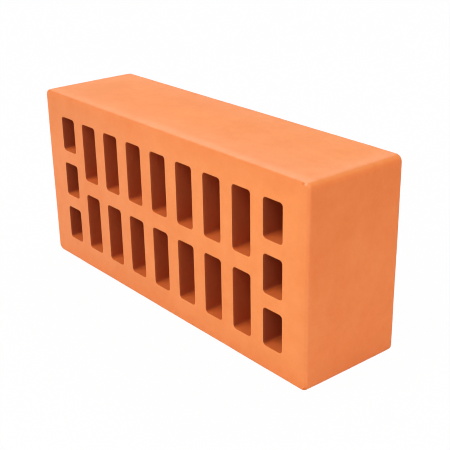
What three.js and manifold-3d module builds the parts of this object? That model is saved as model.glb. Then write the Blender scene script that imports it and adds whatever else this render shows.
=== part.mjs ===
// A perforated facing brick of fired clay, extruded as one column and cut to size by wires.
// Millimetres, +Z up. The brick stands on its long narrow face: X runs along its length,
// Y along the slots from wire cut to wire cut, and Z across its bed faces.
// The origin is at the middle of the face that it stands on.

import * as THREE from "three";
import { mergeVertices } from "three/addons/utils/BufferGeometryUtils.js";
import Module from "manifold-3d";

// Overall size.
const length = 250;
const bedWidth = 116;
const courseHeight = 67;

// Edges. The die rounds the four edges that run along the slots, and the wire leaves
// a smaller softened edge round each bed face.
const dieEdgeRadius = 4.5;
const cutEdgeRadius = 2;

// Slots. They run right through along Y, in columns side by side along the length.
// The end columns hold short slots and the columns between them hold long ones.
const columnCount = 9;
const shortSlotsPerColumn = 3;
const longSlotsPerColumn = 2;
const slotWidth = 14.5;
const slotCornerRadius = 2;
const endWall = 19;
const faceWall = 15.5;
const longSlotWeb = 10.2;
const shortSlotWeb = 8.8;

// Faces for each quarter turn of a rounded edge or corner, and how far a cutter
// reaches past the face that it cuts.
const dieEdgeFacets = 8;
const cutEdgeFacets = 4;
const slotCornerFacets = 4;
const cutterOverrun = 5;

// ExtrudeGeometry gives an arc twice as many faces as its curveSegments.
const facetsPerCurveSegment = 2;

// A rectangle with rounded corners, centred on its own origin.
function roundedRectangle(width, height, radius) {
  const halfWidth = width / 2;
  const halfHeight = height / 2;
  const shape = new THREE.Shape();
  shape.moveTo(radius - halfWidth, -halfHeight);
  shape.lineTo(halfWidth - radius, -halfHeight);
  shape.absarc(halfWidth - radius, radius - halfHeight, radius, -Math.PI / 2, 0);
  shape.lineTo(halfWidth, halfHeight - radius);
  shape.absarc(halfWidth - radius, halfHeight - radius, radius, 0, Math.PI / 2);
  shape.lineTo(radius - halfWidth, halfHeight);
  shape.absarc(radius - halfWidth, halfHeight - radius, radius, Math.PI / 2, Math.PI);
  shape.lineTo(-halfWidth, radius - halfHeight);
  shape.absarc(radius - halfWidth, radius - halfHeight, radius, Math.PI, 1.5 * Math.PI);
  return shape;
}

// Turns a shape drawn in X and Z, and extruded towards its own +Z, into a length of
// clay column along Y, centred between the two wire cuts.
function alongSlots(geometry, extrudedLength) {
  geometry.translate(0, 0, -extrudedLength / 2);
  geometry.rotateX(Math.PI / 2);
  return geometry;
}

// The column of clay between two cuts, with no slots yet.
function brickBlank() {
  const straightLength = courseHeight - 2 * cutEdgeRadius;
  const geometry = new THREE.ExtrudeGeometry(roundedRectangle(length, bedWidth, dieEdgeRadius), {
    depth: straightLength,
    curveSegments: dieEdgeFacets / facetsPerCurveSegment,
    bevelThickness: cutEdgeRadius,
    bevelSize: cutEdgeRadius,
    bevelOffset: -cutEdgeRadius,
    bevelSegments: cutEdgeFacets,
  });
  alongSlots(geometry, straightLength);
  geometry.translate(0, 0, bedWidth / 2);
  return geometry;
}

// One slot, longer than the brick so that it cuts clear through both bed faces.
function slotCutter(slotHeight, centreX, centreZ) {
  const cutterLength = courseHeight + 2 * cutterOverrun;
  const outline = roundedRectangle(slotWidth, slotHeight, slotCornerRadius);
  const geometry = new THREE.ExtrudeGeometry(outline, {
    depth: cutterLength,
    curveSegments: slotCornerFacets / facetsPerCurveSegment,
    bevelEnabled: false,
  });
  alongSlots(geometry, cutterLength);
  geometry.translate(centreX, 0, centreZ);
  return geometry;
}

// All the slots of one column, standing one above the other between the face walls.
function columnOfSlots(centreX, slotCount, web) {
  const slotHeight = (bedWidth - 2 * faceWall - (slotCount - 1) * web) / slotCount;
  const cutters = [];
  for (let row = 0; row < slotCount; row += 1) {
    const centreZ = faceWall + slotHeight / 2 + row * (slotHeight + web);
    cutters.push(slotCutter(slotHeight, centreX, centreZ));
  }
  return cutters;
}

// The whole slot pattern, spread evenly between the two end walls.
function slotPattern() {
  const firstCentre = endWall + slotWidth / 2 - length / 2;
  const pitch = (-2 * firstCentre) / (columnCount - 1);
  const cutters = [];
  for (let column = 0; column < columnCount; column += 1) {
    const atEnd = column === 0 || column === columnCount - 1;
    const slotCount = atEnd ? shortSlotsPerColumn : longSlotsPerColumn;
    const web = atEnd ? shortSlotWeb : longSlotWeb;
    cutters.push(...columnOfSlots(firstCentre + column * pitch, slotCount, web));
  }
  return cutters;
}

const wasm = await Module();
wasm.setup();

// A closed geometry as a solid that can be cut.
function toSolid(geometry) {
  geometry.deleteAttribute("normal");
  geometry.deleteAttribute("uv");
  const merged = mergeVertices(geometry);
  const vertProperties = new Float32Array(merged.attributes.position.array);
  const triVerts = new Uint32Array(merged.index.array);
  return new wasm.Manifold(new wasm.Mesh({ numProp: 3, vertProperties, triVerts }));
}

// A solid as a geometry that can be shown.
function toGeometry(solid) {
  const mesh = solid.getMesh();
  const geometry = new THREE.BufferGeometry();
  geometry.setAttribute("position", new THREE.BufferAttribute(mesh.vertProperties, mesh.numProp));
  geometry.setIndex(new THREE.BufferAttribute(mesh.triVerts, 1));
  geometry.computeVertexNormals();
  return geometry;
}

// The finished brick: the blank with every slot cut through it.
function brickGeometry() {
  let solid = toSolid(brickBlank());
  for (const cutter of slotPattern()) {
    solid = solid.subtract(toSolid(cutter));
  }
  return toGeometry(solid);
}

const firedClay = new THREE.MeshStandardMaterial({
  color: 0xe88a56,
  roughness: 0.9,
  metalness: 0,
  flatShading: true,
});

const brick = new THREE.Group();
const brickBody = new THREE.Mesh(brickGeometry(), firedClay);
brickBody.name = "brick_body";
brick.add(brickBody);

export default brick;
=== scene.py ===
"""A perforated facing brick of fired clay, standing on its long narrow face.

X runs along the brick, Y along its slots from one wire-cut bed face to the other, and Z up.
Blender works in metres, and MM turns the sizes written here in millimetres into them.
"""

import math

import bmesh
import bpy
from mathutils import Matrix, Vector


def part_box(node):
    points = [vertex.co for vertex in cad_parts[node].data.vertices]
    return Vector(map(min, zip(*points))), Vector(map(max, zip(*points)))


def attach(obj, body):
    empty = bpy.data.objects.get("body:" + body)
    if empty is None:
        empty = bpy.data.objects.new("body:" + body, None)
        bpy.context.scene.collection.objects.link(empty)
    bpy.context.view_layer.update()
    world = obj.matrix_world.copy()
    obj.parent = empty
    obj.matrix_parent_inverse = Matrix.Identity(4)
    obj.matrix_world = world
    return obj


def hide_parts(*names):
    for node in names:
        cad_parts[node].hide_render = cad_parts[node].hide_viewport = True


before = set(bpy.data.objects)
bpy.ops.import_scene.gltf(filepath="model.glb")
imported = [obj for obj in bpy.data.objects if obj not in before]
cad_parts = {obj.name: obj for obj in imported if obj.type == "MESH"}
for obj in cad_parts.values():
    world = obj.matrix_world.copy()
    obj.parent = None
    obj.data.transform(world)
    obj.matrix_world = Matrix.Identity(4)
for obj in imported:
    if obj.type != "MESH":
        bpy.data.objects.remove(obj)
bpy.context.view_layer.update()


def srgb(red, green, blue):
    """A colour as seen on a screen, 0 to 255, as the linear colour that shaders use."""

    def linear(level):
        level /= 255
        return level / 12.92 if level <= 0.04045 else ((level + 0.055) / 1.055) ** 2.4

    return (linear(red), linear(green), linear(blue), 1)


MM = 0.001

# ---- Sizes of the brick ------------------------------------------------------------------

# The brick's own sizes, from the frame.
BRICK_LOW, BRICK_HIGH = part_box("brick_body")
BRICK_SIZE = BRICK_HIGH - BRICK_LOW
BRICK_CENTRE = (BRICK_HIGH + BRICK_LOW) / 2
HALF_LENGTH = BRICK_SIZE.x / 2
HALF_COURSE = BRICK_SIZE.y / 2
HALF_WIDTH = BRICK_SIZE.z / 2

# Edges: rounded by the die along the slots, and softened round the bed faces by the wire.
DIE_EDGE_RADIUS = 4.5 * MM
DIE_EDGE_SEGMENTS = 8
CUT_EDGE_RADIUS = 1.6 * MM
CUT_EDGE_SEGMENTS = 6

# Slots, in columns along the brick: short ones at both ends and long ones between.
COLUMN_COUNT = 9
SHORT_SLOTS = 3
LONG_SLOTS = 2
SLOT_WIDTH = 14.5 * MM
SLOT_CORNER_RADIUS = 2 * MM
SLOT_CORNER_SEGMENTS = 5
END_WALL = 19 * MM
FACE_WALL = 15.5 * MM
LONG_SLOT_WEB = 10.2 * MM
SHORT_SLOT_WEB = 8.8 * MM

# The lip where a slot meets a bed face: how far it opens, at each depth below the face.
LIP_PROFILE = [(0.25 * MM, 0), (0.12 * MM, 0.03 * MM), (0.04 * MM, 0.08 * MM), (0, 0.17 * MM)]
CUTTER_OVERRUN = 3 * MM

# Spacing of the mesh on the outer faces and on the slot walls, and the strips kept free of
# cuts for the rounded edges.
SKIN_SPACING = 1.4 * MM
SLOT_SPACING = 2.5 * MM
DIE_EDGE_MARGIN = 5 * MM
CUT_EDGE_MARGIN = 2 * MM
SLOT_CORNER_MARGIN = 2.6 * MM
MOST_CUTS_AT_ONCE = 100

# Points count as being on a plane within this distance, and a face as facing along an axis
# from this share on. Edges are sharp from one angle in degrees on, and shaded smooth up to
# the other. A bevel with this profile is a part of a circle.
TOUCHING = 0.1 * MM
SQUARE_ON = 0.99
SHARP_ANGLE = 60
SMOOTH_ANGLE = 40
ROUND_PROFILE = 0.5

# ---- Wear of the brick -------------------------------------------------------------------

# How the soft column sagged where the wires cut it, and how handling eased the ends of the
# bed faces: the reach of each slope from the arris, and its depth there. The points of the
# stretcher faces are those that lie within STRETCHER_SKIN of them.
RIM_SAGS = [(14 * MM, 0.1 * MM), (6 * MM, 0.14 * MM)]
CHEEK_SAG = (4 * MM, 0.08 * MM)
STRETCHER_SKIN = 2 * MM

# Unevenness that drying, handling and firing leave, as the size of its features and its
# depth. All of it goes inwards. The last two are how far the arrises and mouths reach.
FACE_WAVES = (38 * MM, 0.2 * MM)
ARRIS_WAVES = (9 * MM, 0.12 * MM)
ARRIS_CRUMBS = (2.2 * MM, 0.07 * MM)
MOUTH_CRUMBS = (3 * MM, 0.1 * MM)
ARRIS_REACH = 3.2 * MM
MOUTH_REACH = 1.6 * MM

# Broken spots on the front arrises: place on the brick and size along each axis. The first
# is the chip off the lower corner, the second is the nick beside the upper one, and the
# others are crumbs.
CHIPS = [
    ((123.3 * MM, -33.4 * MM, -0.8 * MM), (2.5 * MM, 2.2 * MM, 4.7 * MM)),
    ((119.8 * MM, -33.5 * MM, 114.9 * MM), (1.1 * MM, 0.7 * MM, 1.0 * MM)),
    ((112.6 * MM, -33.6 * MM, 115.3 * MM), (2.2 * MM, 0.5 * MM, 0.5 * MM)),
    ((124.9 * MM, -33.3 * MM, 12.5 * MM), (0.7 * MM, 0.7 * MM, 1.1 * MM)),
    ((124.8 * MM, -33.4 * MM, 20.0 * MM), (0.8 * MM, 0.6 * MM, 0.8 * MM)),
    ((125.0 * MM, -33.2 * MM, 31.0 * MM), (0.6 * MM, 0.7 * MM, 1.4 * MM)),
]
CHIP_CUTS = 5

# The unevenness of a broken spot: its features and its depth, as shares of its least size.
CHIP_WAVES = (0.7, 0.08)

# A spot that is larger than this shows the lighter clay of LARGE_CHIP_CLAY.
LARGE_CHIP = 3 * MM

# ---- Colours and tones of the clay -------------------------------------------------------

FACE_CLAY = srgb(246, 145, 77)
# Pale clay of worn edges and corners, and of painted highlight on edges and rims.
PALE_WEAR_AND_HIGHLIGHT_CLAY = srgb(255, 166, 116)
# Painted shade along the edges of the bed faces.
MARGIN_SHADE_CLAY = srgb(235, 129, 66)
DULL_CLAY = srgb(234, 138, 81)
# The right header, painted as shade: a tint of its own, deeper towards its top.
SHADED_HEADER_CLAY = srgb(254, 143, 76)
SHADED_HEADER_TOP_CLAY = srgb(250, 137, 70)
# Darker clay: at one corner and the back, and as painted shade at the foot.
DARKENED_CLAY = srgb(222, 127, 66)
# Painted highlight on the rounded die edges beside the headers.
DIE_EDGE_HIGHLIGHT_CLAY = srgb(255, 149, 77)
# Painted highlight at the upper front right corner.
TIP_HIGHLIGHT_CLAY = srgb(255, 169, 123)
FRESH_CLAY = srgb(236, 130, 65)
LARGE_CHIP_CLAY = srgb(243, 138, 64)
# Slot colours: painted shade on the walls and in the end columns, and painted light on the narrow
# ends.
SLOT_SHADE_CLAY = srgb(190, 90, 44)
END_COLUMN_SHADE_CLAY = srgb(175, 83, 42)
SLOT_END_LIGHT_CLAY = srgb(218, 106, 44)

# A tone is given by the two places between which it comes or goes, and by its strength where
# it has one. Names that end on X, Y or Z hold places on that axis, those on SPREAD shares of
# a spot's size, and those on FACING shares of facing along an axis. The others hold distances
# from the planes of the outer faces.

# The look of each kind of outer face ends on its rounded edges. The right header is a little
# deeper towards its top, painted shade.
BED_FADE = (0.5 * MM, 1.6 * MM)
HEADER_FADE = (0.3 * MM, 2.2 * MM)
STRETCHER_FADE = (0.35 * MM, 0.9 * MM)
HEADER_TOP_Z = (50 * MM, BRICK_HIGH.z)

# Darkening: the upper corner that is darker, as place and size along each axis, then the foot,
# where it is painted shade, and the back. A pair of strengths is for all faces, and for what bed
# faces have on top of that. The right end of the bed faces has less painted shade at its foot.
DARK_CORNER = ((BRICK_LOW.x, BRICK_LOW.y, BRICK_HIGH.z), (80 * MM, 90 * MM, 40 * MM))
DARK_CORNER_SPREAD = (0.2, 1)
CORNER_DARKENING = (0.35, 0.25)
FOOT_SHADE_Z = (3 * MM, 22 * MM)
FOOT_SHADE = (0.17, 0.13)
LIGHTER_FOOT_X = (95 * MM, 120 * MM)
LIGHTER_FOOT = 0.8
DARK_BACK_Y = (0, 30 * MM)
DARK_BACK_X = (20 * MM, 110 * MM)
BACK_DARKENING = 0.18

# Painted shade in margins on the bed faces: along the stretcher faces, and wide and narrow
# ones along the headers.
STRETCHER_MARGIN = (1 * MM, 14 * MM, 0.45)
WIDE_HEADER_MARGIN = (3 * MM, 10 * MM, 0.25)
NARROW_HEADER_MARGIN = (1.5 * MM, 4 * MM, 0.5)

# Paler rims on the stretcher faces: all round, then as painted highlight along the front, where
# it grows from the left to the right, along the right, and over a broad patch at the front right.
RIM = (6 * MM, 25 * MM, 0.2)
FRONT_HIGHLIGHT = (3 * MM, 10 * MM)
FRONT_HIGHLIGHT_AT_LEFT = 0.2
FRONT_HIGHLIGHT_GAIN = 0.5
RIGHT_HIGHLIGHT = (3 * MM, 16 * MM, 0.42)
BROAD_HIGHLIGHT_X = (0, 90 * MM)
BROAD_HIGHLIGHT_Y = (-10 * MM, 25 * MM)
BROAD_HIGHLIGHT = 0.22

# Corners and cut edges paler, partly worn and partly painted highlight, a painted highlight on
# the die edges by the headers, and crumbs missing along the edges, which come in where cloudy
# noise rises through CRUMB_CLOUDS.
CORNER_REACH = (0.5 * MM, 2.5 * MM)
CORNER_WEAR_AND_HIGHLIGHT = (1 * MM, 4 * MM, 0.6)
CUT_EDGE_WEAR_AND_HIGHLIGHT = (0.4 * MM, 1.6 * MM, 0.22)
DIE_EDGE_HIGHLIGHT_FROM_STRETCHER = (0.8 * MM, 2.8 * MM)
DIE_EDGE_HIGHLIGHT_FROM_HEADER = (1.3 * MM, 3.2 * MM, 0.7)
CRUMB_SIZE = 2 * MM
CRUMB_CLOUDS = (0.5, 1.1)
CRUMB_REACH = (1 * MM, 2.5 * MM)
CRUMB_WEAR = 0.4

# A painted highlight at the upper front corner: place and size along each axis.
TIP_HIGHLIGHT = ((121.8 * MM, -33.4 * MM, 115.9 * MM), (1.1 * MM, 1.5 * MM, 2.1 * MM))
TIP_HIGHLIGHT_SPREAD = (0.5, 1.1)

# A broken spot shows fresh clay up to its rim, and only where it tilts off the bed face.
BROKEN_SPREAD = (0.97, 1.04)
BROKEN_FACING = (0.93, 0.985)

# Slot walls, painted shade, and their narrow ends, painted light: how deep in the brick they
# begin, how far a wall turns from the bed faces, how far a narrow end turns to the stretcher
# faces, and how far an end column reaches.
SLOT_START = (8 * MM, 9 * MM)
SLOT_WALL_FACING = (0.6, 0.95)
SLOT_END_FACING = (0.4, 0.9)
END_COLUMN_REACH = (34 * MM, 36 * MM)

# Mottling: the size and share of its specks and clouds, how much it changes red, green and
# blue, and how far its clouds are shifted from the brick's origin.
SPECKLE_SIZE = 1.6 * MM
SPECKLE_SHARE = 0.5
MOTTLING_CLOUDS = [(42 * MM, 0.8), (14 * MM, 0.65), (5 * MM, 0.5)]
MOTTLING = (0.02, 0.067, 0.13)
MOTTLING_SHIFT = (0.23, 0.34, -0.27)

# The finest relief, as the size and depth of its features, and the dull sheen.
GRAIN = (0.7 * MM, 0.02 * MM)
DIMPLES = (5 * MM, 0.05 * MM)
ROUGHNESS = 0.72
ROUGHNESS_CHANGE = 0.05
SPECULAR_LEVEL = 0.35

# ---- Floor, lamps and camera -------------------------------------------------------------

WHITE = (1, 1, 1, 1)
FLOOR_GREY = (0.8, 0.8, 0.8, 1)
FLOOR_SIZE = 6
FLOOR_WHITENESS = 0.98

# Each lamp: its name, its heading in degrees from the front towards the right, its height in
# degrees above the brick's middle, its power and its colour.
LAMP_SIZE = 1.4
LAMP_DISTANCE = 3
PLAIN_LIGHT = (1, 1, 1)
WARM_LIGHT = (1, 0.895, 0.865)
LAMPS = [
    ("front", -15, 8, 30, PLAIN_LIGHT),
    ("front_left", -35, 30, 24, PLAIN_LIGHT),
    ("front_right", 40, 45, 18, PLAIN_LIGHT),
    ("right", 96, 8, 33.5, WARM_LIGHT),
    ("overhead", 0, 65, 27, PLAIN_LIGHT),
    ("high_back", 180, 60, 28, PLAIN_LIGHT),
    ("left", -120, 32, 18, PLAIN_LIGHT),
]

# The camera: its place, its heading, drop and roll in degrees, and the focal length of its
# lens in pixels of an image of this width.
CAMERA_PLACE = (420.3 * MM, -326.6 * MM, 267.7 * MM)
CAMERA_HEADING = 50.8
CAMERA_DROP = 22.53
CAMERA_ROLL = -1.02
IMAGE_WIDTH = 450
FOCAL_PIXELS = 935.9
SENSOR_WIDTH = 36
NEAREST_SEEN = 10 * MM
FILTER_PIXELS = 1.1


# ---- Modelling helpers -------------------------------------------------------------------


def only(piece):
    """Makes one object the only one that is selected, and the active one."""
    bpy.ops.object.select_all(action="DESELECT")
    piece.select_set(True)
    bpy.context.view_layer.objects.active = piece


def add_block(name, size, centre):
    """A block at its size and place, with its place in its mesh."""
    bpy.ops.object.select_all(action="DESELECT")
    bpy.ops.mesh.primitive_cube_add(size=1, location=centre)
    block = bpy.context.object
    block.name = name
    block.scale = size
    bpy.ops.object.transform_apply(location=True, rotation=True, scale=True)
    return block


def pick(piece, kind, wanted):
    """In edit mode, selects only the points, edges or faces of a piece that are wanted."""
    bpy.ops.mesh.select_mode(type=kind)
    bpy.ops.mesh.select_all(action="DESELECT")
    mesh = bmesh.from_edit_mesh(piece.data)
    parts = {"VERT": mesh.verts, "EDGE": mesh.edges, "FACE": mesh.faces}
    for part in parts[kind]:
        if wanted(part):
            part.select_set(True)
    bmesh.update_edit_mesh(piece.data)


def bisect_at(axis, place):
    """In edit mode, cuts the whole piece by a plane across one axis."""
    point = Vector((0, 0, 0))
    normal = Vector((0, 0, 0))
    point[axis] = place
    normal[axis] = 1
    bpy.ops.mesh.select_all(action="SELECT")
    bpy.ops.mesh.bisect(plane_co=point, plane_no=normal)


def cut_evenly(piece, axis, low, high, spacing):
    """In edit mode, cuts a block across one axis into even steps between low and high."""
    steps = math.ceil((high - low) / spacing)
    spans = math.ceil(steps / MOST_CUTS_AT_ONCE)
    for span in range(spans + 1):
        bisect_at(axis, low + (high - low) * span / spans)
    slack = spacing / 100

    def runs_between(edge):
        start, end = sorted(point.co[axis] for point in edge.verts)
        return end - start > slack and start > low - slack and end < high + slack

    pick(piece, "EDGE", runs_between)
    bpy.ops.mesh.subdivide(number_cuts=math.ceil(steps / spans) - 1)


def runs_along_slots(edge):
    """Whether an edge runs from one bed face towards the other."""
    first, second = edge.verts
    return abs(first.co.y - second.co.y) > TOUCHING


def apply_modifier(piece, kind, **settings):
    """Adds a modifier to a piece with its settings, and applies it."""
    only(piece)
    modifier = piece.modifiers.new(kind.lower(), kind)
    for name, value in settings.items():
        setattr(modifier, name, value)
    bpy.ops.object.modifier_apply(modifier=modifier.name)


def cut_away(piece, cutter):
    """Cuts one piece's shape out of another, and removes the cutter."""
    apply_modifier(piece, "BOOLEAN", operation="DIFFERENCE", solver="MANIFOLD", object=cutter)
    bpy.data.objects.remove(cutter)


def copy_of(piece, offset):
    """A copy of a piece with a mesh of its own, moved by offset."""
    only(piece)
    bpy.ops.object.duplicate(linked=False)
    copy = bpy.context.object
    copy.location = offset
    bpy.ops.object.transform_apply(location=True, rotation=True, scale=True)
    return copy


def joined(pieces):
    """Joins pieces into the first one."""
    only(pieces[0])
    for piece in pieces:
        piece.select_set(True)
    bpy.ops.object.join()
    return pieces[0]


def weigh(piece, name, weight):
    """Makes a vertex group that holds weight(point, normal) for every point of a piece."""
    group = piece.vertex_groups.new(name=name)
    for vertex in piece.data.vertices:
        value = weight(vertex.co, vertex.normal)
        if value > 0:
            group.add([vertex.index], min(value, 1), "REPLACE")
    return group.name


def sink(piece, depth, group):
    """Lowers a piece's surface by one depth where the group is full."""
    apply_modifier(piece, "DISPLACE", strength=-depth, mid_level=0, vertex_group=group)


def press_in(piece, waves, group=""):
    """Presses a piece in unevenly, by cloudy waves of one size and depth."""
    size, depth = waves
    texture = bpy.data.textures.new("waves", "CLOUDS")
    texture.noise_scale = size
    texture.noise_depth = 1
    apply_modifier(
        piece, "DISPLACE", texture=texture, texture_coords="LOCAL", direction="NORMAL",
        strength=depth, mid_level=1, vertex_group=group,
    )


def falloff(distance, reach):
    """1 at no distance, easing to 0 at the reach."""
    return max(0, 1 - distance / reach) ** 2


def depths(point):
    """How far a point lies inside the header, bed and stretcher faces."""
    return (
        HALF_LENGTH - abs(point.x),
        HALF_COURSE - abs(point.y),
        HALF_WIDTH - abs(point.z - BRICK_CENTRE.z),
    )


# ---- The brick ---------------------------------------------------------------------------


def clay_blank():
    """The cut length of clay column with its edges rounded, gridded finely on all sides."""
    blank = add_block("brick", BRICK_SIZE, BRICK_CENTRE)
    bpy.ops.object.mode_set(mode="EDIT")
    margins = (DIE_EDGE_MARGIN, CUT_EDGE_MARGIN, DIE_EDGE_MARGIN)
    for axis, margin in enumerate(margins):
        cut_evenly(blank, axis, BRICK_LOW[axis] + margin, BRICK_HIGH[axis] - margin, SKIN_SPACING)

    def on_die_edge(edge):
        on_it = [max(depths(point.co)[0], depths(point.co)[2]) < TOUCHING for point in edge.verts]
        return all(on_it) and runs_along_slots(edge)

    pick(blank, "EDGE", on_die_edge)
    bpy.ops.mesh.bevel(
        offset=DIE_EDGE_RADIUS, segments=DIE_EDGE_SEGMENTS, profile=ROUND_PROFILE
    )
    bpy.ops.mesh.select_all(action="DESELECT")
    bpy.ops.mesh.edges_select_sharp(sharpness=math.radians(SHARP_ANGLE))
    bpy.ops.mesh.bevel(
        offset=CUT_EDGE_RADIUS, segments=CUT_EDGE_SEGMENTS, profile=ROUND_PROFILE
    )
    bpy.ops.object.mode_set(mode="OBJECT")
    return blank


def slot_cutter(height):
    """The empty space of one slot, at the origin, widening into a soft lip at both ends."""
    deepest_lip = LIP_PROFILE[0][0]
    half = Vector((SLOT_WIDTH / 2, HALF_COURSE - deepest_lip, height / 2))
    cutter = add_block("slot_cutter", 2 * half, (0, 0, 0))
    bpy.ops.object.mode_set(mode="EDIT")
    for axis in (0, 2):
        reach = half[axis] - SLOT_CORNER_MARGIN
        cut_evenly(cutter, axis, -reach, reach, SLOT_SPACING)
    cut_evenly(cutter, 1, -half.y, half.y, SLOT_SPACING)

    def in_corner(point):
        return abs(abs(point.co.x) - half.x) + abs(abs(point.co.z) - half.z) < TOUCHING

    def on_corner(edge):
        return all(in_corner(point) for point in edge.verts) and runs_along_slots(edge)

    pick(cutter, "EDGE", on_corner)
    bpy.ops.mesh.bevel(
        offset=SLOT_CORNER_RADIUS, segments=SLOT_CORNER_SEGMENTS, profile=ROUND_PROFILE
    )
    for side in (-1, 1):
        flare_lip(cutter, side, height)
    bpy.ops.object.mode_set(mode="OBJECT")
    return cutter


def flare_lip(cutter, side, height):
    """Draws one end of a slot's cutter out in steps, each a little wider than the last."""
    pick(cutter, "FACE", lambda face: face.normal.y * side > SQUARE_ON)
    steps = zip(LIP_PROFILE, LIP_PROFILE[1:])
    for (depth, opening), (next_depth, next_opening) in steps:
        advance = (0, side * (depth - next_depth), 0)
        bpy.ops.mesh.extrude_region_move(TRANSFORM_OT_translate={"value": advance})
        widen = (
            (SLOT_WIDTH + 2 * next_opening) / (SLOT_WIDTH + 2 * opening),
            1,
            (height + 2 * next_opening) / (height + 2 * opening),
        )
        bpy.ops.transform.resize(value=widen)
    overrun = (0, side * CUTTER_OVERRUN, 0)
    bpy.ops.mesh.extrude_region_move(TRANSFORM_OT_translate={"value": overrun})


def slot_places():
    """The centre and height of every slot, column by column."""
    first = END_WALL + SLOT_WIDTH / 2 - HALF_LENGTH
    pitch = -2 * first / (COLUMN_COUNT - 1)
    places = []
    for column in range(COLUMN_COUNT):
        at_end = column in (0, COLUMN_COUNT - 1)
        count = SHORT_SLOTS if at_end else LONG_SLOTS
        web = SHORT_SLOT_WEB if at_end else LONG_SLOT_WEB
        height = (BRICK_SIZE.z - 2 * FACE_WALL - (count - 1) * web) / count
        for row in range(count):
            z = FACE_WALL + height / 2 + row * (height + web)
            places.append((Vector((first + column * pitch, 0, z)), height))
    return places


def cut_slots(blank):
    """Cuts every slot through the blank, from one cutter for each height of slot."""
    cutters = {}
    copies = []
    for place, height in slot_places():
        key = round(height / MM, 3)
        if key not in cutters:
            cutters[key] = slot_cutter(height)
        copies.append(copy_of(cutters[key], place))
    for cutter in cutters.values():
        bpy.data.objects.remove(cutter)
    cut_away(blank, joined(copies))


def settle_and_wear(brick):
    """Gives the true shape the waves, slumped rims and worn arrises of a real brick."""

    def sag(distance):
        return sum(depth * falloff(distance, reach) for reach, depth in RIM_SAGS)

    cheek_reach, cheek_depth = CHEEK_SAG

    def near_rim(point, normal):
        _, to_bed, to_stretcher = depths(point)
        on_stretcher = to_stretcher < STRETCHER_SKIN
        return normal.z ** 2 * sag(to_bed) / sag(0) if on_stretcher else 0

    def near_cheek(point, normal):
        to_header, _, _ = depths(point)
        return normal.y ** 2 * falloff(to_header, cheek_reach)

    def near_arris(point, normal):
        return math.sqrt(falloff(sorted(depths(point))[1], ARRIS_REACH))

    def near_mouth(point, normal):
        to_header, to_bed, to_stretcher = depths(point)
        in_slots = min(to_header, to_stretcher) > FACE_WALL / 2
        return falloff(to_bed, MOUTH_REACH) * (1 - normal.y ** 2) if in_slots else 0

    rims = weigh(brick, "rims", near_rim)
    cheeks = weigh(brick, "cheeks", near_cheek)
    arrises = weigh(brick, "arrises", near_arris)
    mouths = weigh(brick, "mouths", near_mouth)
    sink(brick, sag(0), rims)
    sink(brick, cheek_depth, cheeks)
    press_in(brick, FACE_WAVES)
    press_in(brick, ARRIS_WAVES, arrises)
    press_in(brick, ARRIS_CRUMBS, arrises)
    press_in(brick, MOUTH_CRUMBS, mouths)
    brick.vertex_groups.clear()


def chip_cutter(place, size):
    """The clay that broke away at one spot, as a rough lump with flat sides."""
    bpy.ops.object.select_all(action="DESELECT")
    bpy.ops.mesh.primitive_ico_sphere_add(subdivisions=1, radius=1, location=place)
    lump = bpy.context.object
    lump.scale = size
    bpy.ops.object.transform_apply(location=True, rotation=True, scale=True)
    bpy.ops.object.mode_set(mode="EDIT")
    bpy.ops.mesh.subdivide(number_cuts=CHIP_CUTS)
    bpy.ops.object.mode_set(mode="OBJECT")
    press_in(lump, [share * min(size) for share in CHIP_WAVES])
    return lump


def break_chips(brick):
    """Breaks every chip off the brick, and drops the points that the cuts leave along a side."""
    cut_away(brick, joined([chip_cutter(place, size) for place, size in CHIPS]))
    only(brick)
    bpy.ops.object.mode_set(mode="EDIT")
    pick(brick, "VERT", lambda point: len(point.link_edges) == 2)
    bpy.ops.mesh.dissolve_verts()
    bpy.ops.object.mode_set(mode="OBJECT")


def build_brick():
    """The whole brick, pierced, worn, smooth where it is round, and chipped."""
    brick = clay_blank()
    cut_slots(brick)
    settle_and_wear(brick)
    only(brick)
    bpy.ops.object.shade_smooth_by_angle(angle=math.radians(SMOOTH_ANGLE))
    break_chips(brick)
    return brick


# ---- Shader maths ------------------------------------------------------------------------


class Field:
    """A value that changes over a surface. Python's operators on it add the nodes."""

    def __init__(self, shader, socket):
        self.shader = shader
        self.socket = socket

    def math(self, operation, first, second):
        settings = {"operation": operation}
        return self.shader.make("ShaderNodeMath", settings, {0: first, 1: second})

    def __add__(self, other):
        return self.math("ADD", self, other)

    def __sub__(self, other):
        return self.math("SUBTRACT", self, other)

    def __rsub__(self, other):
        return self.math("SUBTRACT", other, self)

    def __mul__(self, other):
        return self.math("MULTIPLY", self, other)

    __radd__ = __add__
    __rmul__ = __mul__

    def size(self):
        """The value without its sign."""
        return self.math("ABSOLUTE", self, 0)

    def least(self, other):
        """The lower of two values."""
        return self.math("MINIMUM", self, other)

    def most(self, other):
        """The higher of two values."""
        return self.math("MAXIMUM", self, other)

    def rising(self, low, high):
        """0 below low and 1 above high, smooth between them."""
        settings = {"interpolation_type": "SMOOTHSTEP"}
        values = {"Value": self, "From Min": low, "From Max": high}
        return self.shader.make("ShaderNodeMapRange", settings, values)

    def falling(self, low, high, strength=None):
        """1 below low and 0 above high, smooth between them, times the strength."""
        fall = 1 - self.rising(low, high)
        return fall if strength is None else fall * strength


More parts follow.
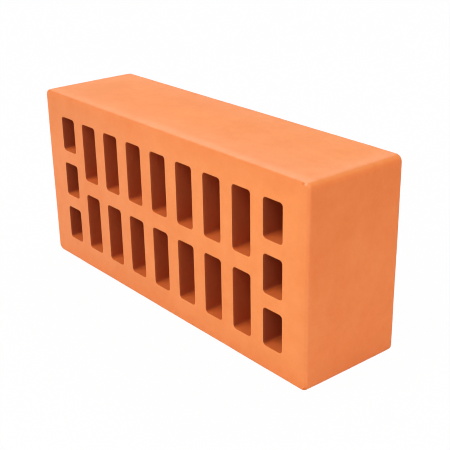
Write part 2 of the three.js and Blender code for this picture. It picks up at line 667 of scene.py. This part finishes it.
class Shader:
    """The nodes of one material or world, built from expressions."""

    def __init__(self, owner):
        self.owner = owner
        owner.use_nodes = True
        self.tree = owner.node_tree
        self.tree.nodes.clear()

    def make(self, kind, settings=None, values=None, output=0):
        """Adds a node, sets its settings and then its sockets, and returns one output."""
        node = self.tree.nodes.new(kind)
        for name, value in (settings or {}).items():
            setattr(node, name, value)
        for key, value in (values or {}).items():
            if isinstance(value, Field):
                self.tree.links.new(value.socket, node.inputs[key])
            else:
                node.inputs[key].default_value = value
        return Field(self, node.outputs[output])

    def vector_math(self, operation, values, output=0):
        """Adds a node that works on vectors, or on colours as vectors."""
        settings = {"operation": operation}
        return self.make("ShaderNodeVectorMath", settings, dict(enumerate(values)), output)

    def place(self):
        """The point on the piece, in metres from its origin."""
        return self.make("ShaderNodeTexCoord", output="Object")

    def facing(self):
        """The direction that the surface faces."""
        return self.make("ShaderNodeTexCoord", output="Normal")

    def parts(self, vector):
        """The three numbers of a vector."""
        first = self.make("ShaderNodeSeparateXYZ", values={0: vector})
        return [Field(self, output) for output in first.socket.node.outputs]

    def tinted(self, colour, tone, amounts):
        """A colour made lighter or darker with a tone, by one amount for each of its parts."""
        parts = {index: 1 + tone * amount for index, amount in enumerate(amounts)}
        scale = self.make("ShaderNodeCombineXYZ", values=parts)
        return self.vector_math("MULTIPLY", (colour, scale))

    def spread(self, centre, size):
        """How far the surface lies from a spot, where 1 is the size of the spot."""
        offset = self.vector_math("SUBTRACT", (self.place(), centre))
        shares = self.vector_math("DIVIDE", (offset, size))
        return self.vector_math("LENGTH", (shares,), output="Value")

    def clouds(self, size, detail=2.0, where=None):
        """Cloudy noise about 0, mostly within 1, with features of one size in metres."""
        middle = 0.5
        gain = 4
        values = {"Vector": where or self.place(), "Scale": 1 / size, "Detail": detail}
        return (self.make("ShaderNodeTexNoise", values=values) - middle) * gain

    def mix(self, factor, first, second):
        """Blends two colours."""
        settings = {"data_type": "RGBA"}
        node = self.make("ShaderNodeMix", settings, {"Factor": factor}).socket.node
        inputs = [socket for socket in node.inputs if socket.type == "RGBA"]
        for socket, colour in zip(inputs, (first, second)):
            if isinstance(colour, Field):
                self.tree.links.new(colour.socket, socket)
            else:
                socket.default_value = colour
        return Field(self, next(socket for socket in node.outputs if socket.type == "RGBA"))

    def bump(self, height, depth, below=None):
        """Tilts the surface by a height field of one depth in metres, on top of another bump."""
        values = {"Height": height, "Strength": 1.0, "Distance": depth}
        if below:
            values["Normal"] = below
        return self.make("ShaderNodeBump", values=values)

    def seen_or_mirrored(self):
        """1 for what the camera sees, directly or reflected in something, and 0 for light."""
        rays = ("Is Camera Ray", "Is Glossy Ray", "Is Transmission Ray")
        camera, glossy, transmission = [
            self.make("ShaderNodeLightPath", output=ray) for ray in rays
        ]
        return camera.most(glossy).most(transmission)

    def finish(self, surface, kind="ShaderNodeOutputMaterial"):
        """Connects the surface, and returns the material or world."""
        output = self.tree.nodes.new(kind)
        self.tree.links.new(surface.socket, output.inputs["Surface"])
        return self.owner


# ---- Fired clay --------------------------------------------------------------------------


class SkinPoint:
    """Where a point that is coloured lies on the brick, and how the skin faces there."""

    def __init__(self, shader):
        self.x, self.y, self.z = shader.parts(shader.place())
        self.to_header = HALF_LENGTH - self.x.size()
        self.to_bed = HALF_COURSE - self.y.size()
        self.to_stretcher = HALF_WIDTH - (self.z - BRICK_CENTRE.z).size()
        facing = shader.parts(shader.facing())
        self.facing_bed = facing[1].size()
        self.facing_stretcher = facing[2].size()
        self.on_bed = self.to_bed.falling(*BED_FADE)
        self.on_stretcher = self.to_stretcher.falling(*STRETCHER_FADE)


def clay_colour_and_shade(shader, point):
    """Bed faces duller to the left, the right header tinted as painted shade, and darkening."""
    duller = point.on_bed * point.x.falling(-HALF_LENGTH, HALF_LENGTH)
    colour = shader.mix(duller, FACE_CLAY, DULL_CLAY)
    # Painted shade: the right header tinted, and deeper towards its top.
    shaded_header_colour = shader.mix(point.z.rising(*HEADER_TOP_Z), SHADED_HEADER_CLAY, SHADED_HEADER_TOP_CLAY)
    redder = point.to_header.falling(*HEADER_FADE) * point.x.rising(-HALF_LENGTH, 0)
    colour = shader.mix(redder, colour, shaded_header_colour)
    return shader.mix(darkening(shader, point), colour, DARKENED_CLAY)


def darkening(shader, point):
    """How much one upper corner and the back are darkened, and the painted shade at the foot."""
    corner_strength, corner_on_bed = CORNER_DARKENING
    corner = shader.spread(*DARK_CORNER).falling(*DARK_CORNER_SPREAD)
    corner = corner * (corner_strength + point.on_bed * corner_on_bed)
    foot_strength, foot_on_bed = FOOT_SHADE
    # Painted shade at the foot.
    foot = point.z.falling(*FOOT_SHADE_Z) * (foot_strength + point.on_bed * foot_on_bed)
    less_foot_shade = point.on_bed * point.x.rising(*LIGHTER_FOOT_X) * LIGHTER_FOOT
    back = point.y.rising(*DARK_BACK_Y) * point.x.falling(*DARK_BACK_X)
    return corner.most(foot * (1 - less_foot_shade)).most(back * BACK_DARKENING)


def with_bed_margin_shade(shader, point, colour):
    """Painted shade: bed faces a little deeper along their edges."""
    margin = point.to_stretcher.falling(*STRETCHER_MARGIN)
    for band in (WIDE_HEADER_MARGIN, NARROW_HEADER_MARGIN):
        margin = margin.most(point.to_header.falling(*band))
    return shader.mix(point.on_bed * margin, colour, MARGIN_SHADE_CLAY)


def with_stretcher_rims_and_highlights(shader, point, colour):
    """Paler stretcher edges, with a painted highlight strongest at the front and the right."""
    growth = FRONT_HIGHLIGHT_AT_LEFT + point.x.rising(-HALF_LENGTH, HALF_LENGTH) * FRONT_HIGHLIGHT_GAIN
    # Painted highlight along the front, the right, and over a broad patch at the front right.
    front = (HALF_COURSE + point.y).falling(*FRONT_HIGHLIGHT) * growth
    right = (HALF_LENGTH - point.x).falling(*RIGHT_HIGHLIGHT)
    broad = point.x.rising(*BROAD_HIGHLIGHT_X) * point.y.falling(*BROAD_HIGHLIGHT_Y) * BROAD_HIGHLIGHT
    painted_highlight = front.most(right).most(broad)
    rim = point.to_header.least(point.to_bed).falling(*RIM) + painted_highlight
    return shader.mix(rim * point.on_stretcher, colour, PALE_WEAR_AND_HIGHLIGHT_CLAY)


def with_worn_and_highlit_edges(shader, point, colour):
    """Corners and cut edges paler from wear and painted highlight; die edges a painted highlight.
    """
    corner = point.to_header.falling(*CORNER_REACH) * point.to_bed.falling(*CORNER_REACH)
    corner = corner * point.to_stretcher.falling(*CORNER_WEAR_AND_HIGHLIGHT)
    colour = shader.mix(corner, colour, PALE_WEAR_AND_HIGHLIGHT_CLAY)
    cut_edge = point.to_header.most(point.to_bed).falling(*CUT_EDGE_WEAR_AND_HIGHLIGHT)
    colour = shader.mix(cut_edge, colour, PALE_WEAR_AND_HIGHLIGHT_CLAY)
    # Painted highlight on the rounded die edges beside the headers.
    die_edge_highlight = point.to_header.falling(*DIE_EDGE_HIGHLIGHT_FROM_HEADER)
    die_edge_highlight = die_edge_highlight * point.to_stretcher.falling(*DIE_EDGE_HIGHLIGHT_FROM_STRETCHER)
    return shader.mix(die_edge_highlight, colour, DIE_EDGE_HIGHLIGHT_CLAY)


def with_broken_skin(shader, point, colour):
    """Fresh clay where crumbs and chips of skin are missing, and a painted highlight on one tip.
    """
    to_edge = point.to_header.least(point.to_bed)
    to_edge = to_edge.most(point.to_header.most(point.to_bed).least(point.to_stretcher))
    crumbs = shader.clouds(CRUMB_SIZE, detail=1).rising(*CRUMB_CLOUDS)
    crumbs = to_edge.falling(*CRUMB_REACH) * crumbs * CRUMB_WEAR
    colour = shader.mix(crumbs, colour, FRESH_CLAY)
    # A painted highlight on the upper front right corner.
    tip = shader.spread(*TIP_HIGHLIGHT).falling(*TIP_HIGHLIGHT_SPREAD)
    colour = shader.mix(tip, colour, TIP_HIGHLIGHT_CLAY)
    tilted = point.facing_bed.falling(*BROKEN_FACING)
    for place, size in CHIPS:
        broken = shader.spread(place, size).falling(*BROKEN_SPREAD) * tilted
        broken_clay = LARGE_CHIP_CLAY if max(size) > LARGE_CHIP else FRESH_CLAY
        colour = shader.mix(broken, colour, broken_clay)
    return colour


def with_painted_slot_shade(shader, point, colour):
    """Painted shade behind the lips of the slots, deepest in the end columns. It is lighter, as
    painted light, at the two narrow ends of each slot than on the long walls."""
    in_slots = point.to_header.least(point.to_stretcher).rising(*SLOT_START)
    in_wall_shade = in_slots * point.facing_bed.falling(*SLOT_WALL_FACING)
    in_end_column = point.to_header.falling(*END_COLUMN_REACH)
    slot_shade_colour = shader.mix(in_end_column, SLOT_SHADE_CLAY, END_COLUMN_SHADE_CLAY)
    on_lit_end = point.facing_stretcher.rising(*SLOT_END_FACING)
    slot_shade_colour = shader.mix(on_lit_end, slot_shade_colour, SLOT_END_LIGHT_CLAY)
    return shader.mix(in_wall_shade, colour, slot_shade_colour)


def with_mottling(shader, speckle, colour):
    """Clay mottled in clouds and specks, in its blue most and in its red least."""
    shifted = shader.vector_math("ADD", (shader.place(), MOTTLING_SHIFT))
    tone = speckle * SPECKLE_SHARE
    for size, share in MOTTLING_CLOUDS:
        tone = tone + shader.clouds(size, where=shifted) * share
    return shader.tinted(colour, tone, MOTTLING)


def relief(shader):
    """Dimples and a fine grain, too small to model."""
    dimple_size, dimple_depth = DIMPLES
    dimples = shader.bump(shader.clouds(dimple_size), dimple_depth)
    grain_size, grain_depth = GRAIN
    return shader.bump(shader.clouds(grain_size, detail=3), grain_depth, dimples)


def fired_clay():
    """The one material of the brick."""
    shader = Shader(bpy.data.materials.new("fired_clay"))
    point = SkinPoint(shader)
    speckle = shader.clouds(SPECKLE_SIZE, detail=1)
    colour = clay_colour_and_shade(shader, point)
    layers = (
        with_bed_margin_shade,
        with_stretcher_rims_and_highlights,
        with_worn_and_highlit_edges,
        with_broken_skin,
        with_painted_slot_shade,
    )
    for layer in layers:
        colour = layer(shader, point, colour)
    values = {
        "Base Color": with_mottling(shader, speckle, colour),
        "Roughness": ROUGHNESS + speckle * ROUGHNESS_CHANGE,
        "Specular IOR Level": SPECULAR_LEVEL,
        "Normal": relief(shader),
    }
    return shader.finish(shader.make("ShaderNodeBsdfPrincipled", values=values))


# ---- Surroundings ------------------------------------------------------------------------


def add_floor():
    """A pale floor that looks white, and still shows the brick's shadow a little."""
    bpy.ops.object.select_all(action="DESELECT")
    bpy.ops.mesh.primitive_plane_add(size=FLOOR_SIZE, location=(0, 0, 0))
    floor = bpy.context.object
    floor.name = "floor"
    shader = Shader(bpy.data.materials.new("pale_floor"))
    lit = shader.make("ShaderNodeBsdfDiffuse", values={"Color": FLOOR_GREY})
    white = shader.make("ShaderNodeEmission", values={"Color": WHITE, "Strength": 1})
    shown = shader.seen_or_mirrored() * FLOOR_WHITENESS
    surface = shader.make("ShaderNodeMixShader", values={0: shown, 1: lit, 2: white})
    floor.data.materials.append(shader.finish(surface))


def add_world():
    """A surround that looks white and gives no light of its own."""
    world = bpy.data.worlds.new("studio")
    bpy.context.scene.world = world
    shader = Shader(world)
    white = shader.make("ShaderNodeBackground", values={"Color": WHITE, "Strength": 1})
    shown = shader.seen_or_mirrored()
    surround = shader.make("ShaderNodeMixShader", values={0: shown, 2: white})
    shader.finish(surround, "ShaderNodeOutputWorld")


def add_lamp(name, heading, height, power, colour):
    """A soft square lamp that faces the brick."""
    data = bpy.data.lights.new(name, "AREA")
    data.shape = "SQUARE"
    data.size = LAMP_SIZE
    data.energy = power
    data.color = colour
    lamp = bpy.data.objects.new(name, data)
    bpy.context.scene.collection.objects.link(lamp)
    turn = Matrix.Rotation(math.radians(heading), 3, "Z")
    tilt = Matrix.Rotation(math.radians(-height), 3, "X")
    away = turn @ tilt @ Vector((0, -LAMP_DISTANCE, 0))
    lamp.location = BRICK_CENTRE + away
    lamp.rotation_euler = (-away).to_track_quat("-Z", "Y").to_euler()


def add_camera():
    """The camera that the scene is seen through."""
    data = bpy.data.cameras.new("camera")
    data.sensor_width = SENSOR_WIDTH
    data.lens = FOCAL_PIXELS * SENSOR_WIDTH / IMAGE_WIDTH
    data.clip_start = NEAREST_SEEN
    camera = bpy.data.objects.new("camera", data)
    bpy.context.scene.collection.objects.link(camera)
    turn = Matrix.Rotation(math.radians(CAMERA_HEADING), 4, "Z")
    tilt = Matrix.Rotation(math.radians(90 - CAMERA_DROP), 4, "X")
    roll = Matrix.Rotation(math.radians(CAMERA_ROLL), 4, "Z")
    camera.matrix_world = Matrix.Translation(CAMERA_PLACE) @ turn @ tilt @ roll
    bpy.context.scene.camera = camera


# ---- The scene ---------------------------------------------------------------------------

brick = build_brick()
brick.data.materials.clear()
brick.data.materials.append(fired_clay())
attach(brick, "root")
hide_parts("brick_body")

add_floor()
add_world()
for lamp in LAMPS:
    add_lamp(*lamp)
add_camera()

bpy.context.scene.view_settings.view_transform = "Standard"
bpy.context.scene.cycles.filter_width = FILTER_PIXELS
